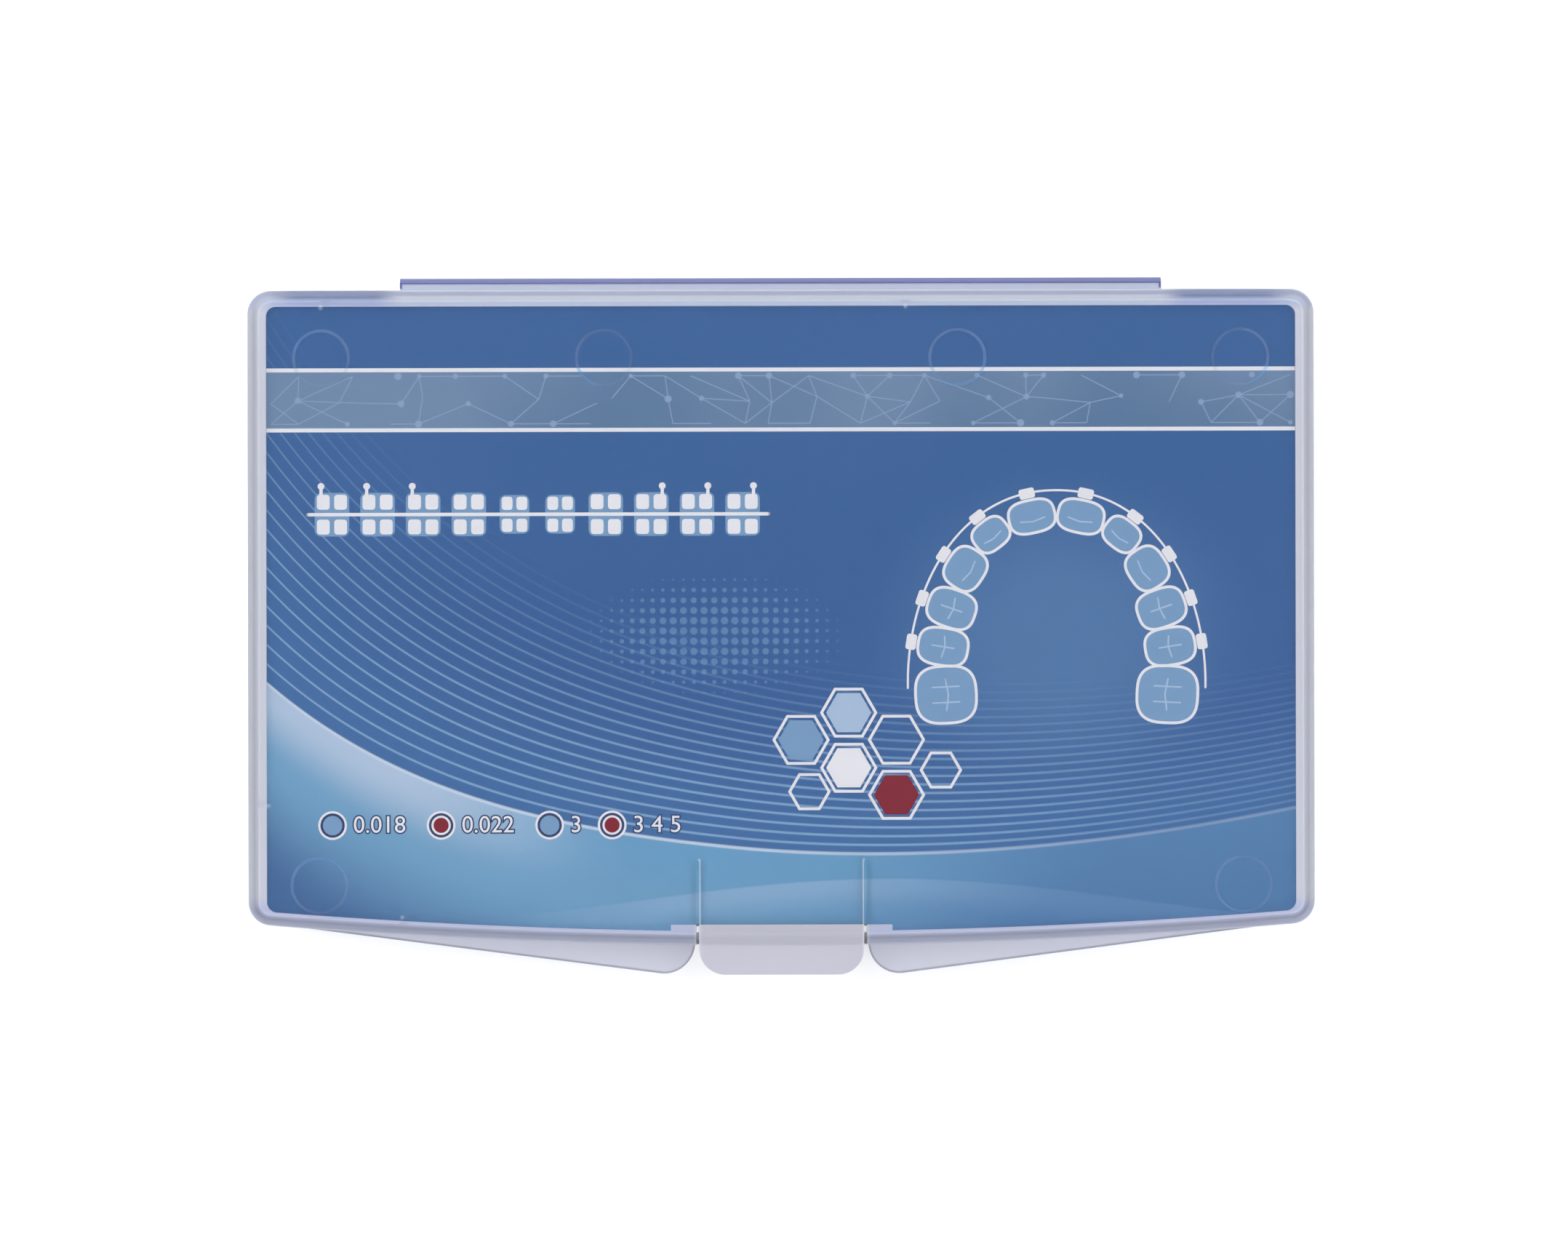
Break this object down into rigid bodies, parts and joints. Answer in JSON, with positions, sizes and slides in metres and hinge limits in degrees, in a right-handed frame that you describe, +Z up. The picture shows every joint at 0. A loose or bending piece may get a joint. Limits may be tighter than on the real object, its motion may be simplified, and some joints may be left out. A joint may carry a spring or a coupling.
{
  "type": "orthodontic bracket kit case",
  "caption": "Flat clear plastic hinged case with a printed card in the lid, holding ceramic orthodontic brackets on an adhesive card.",
  "frame": {"origin": "middle of the underside of the closed case", "axes": "+X to the right along the hinge, +Y to the rear where the hinge is, +Z up through the lid"},
  "size_m": [0.13, 0.085, 0.013],
  "materials": {
    "clear_case": "moulded clear polypropylene, slightly milky lavender, glossy",
    "printed_card": "coated blue printed card",
    "bracket_card": "coated white card",
    "adhesive_film": "clear tacky foam tape",
    "ceramic": "polished translucent alumina"
  },
  "bodies": {
    "base": {"case_base": "clear_case", "bracket_card": "bracket_card", "adhesive_strip_upper": "adhesive_film", "adhesive_strip_lower": "adhesive_film", "bracket_upper_right_1": "ceramic", "bracket_upper_right_2": "ceramic", "bracket_upper_right_3": "ceramic", "bracket_upper_right_4": "ceramic", "bracket_upper_right_5": "ceramic", "bracket_upper_left_1": "ceramic", "bracket_upper_left_2": "ceramic", "bracket_upper_left_3": "ceramic", "bracket_upper_left_4": "ceramic", "bracket_upper_left_5": "ceramic", "bracket_lower_right_1": "ceramic", "bracket_lower_right_2": "ceramic", "bracket_lower_right_3": "ceramic", "bracket_lower_right_4": "ceramic", "bracket_lower_right_5": "ceramic", "bracket_lower_left_1": "ceramic", "bracket_lower_left_2": "ceramic", "bracket_lower_left_3": "ceramic", "bracket_lower_left_4": "ceramic", "bracket_lower_left_5": "ceramic"},
    "lid": {"case_lid": "clear_case", "printed_insert": "printed_card"}
  },
  "joints": [
    {"name": "lid_hinge", "type": "hinge", "parent": "base", "child": "lid", "pos_m": [0, 0.04255, 0.0066], "axis": [-1, 0, 0], "range_deg": [0, 180]}
  ]
}
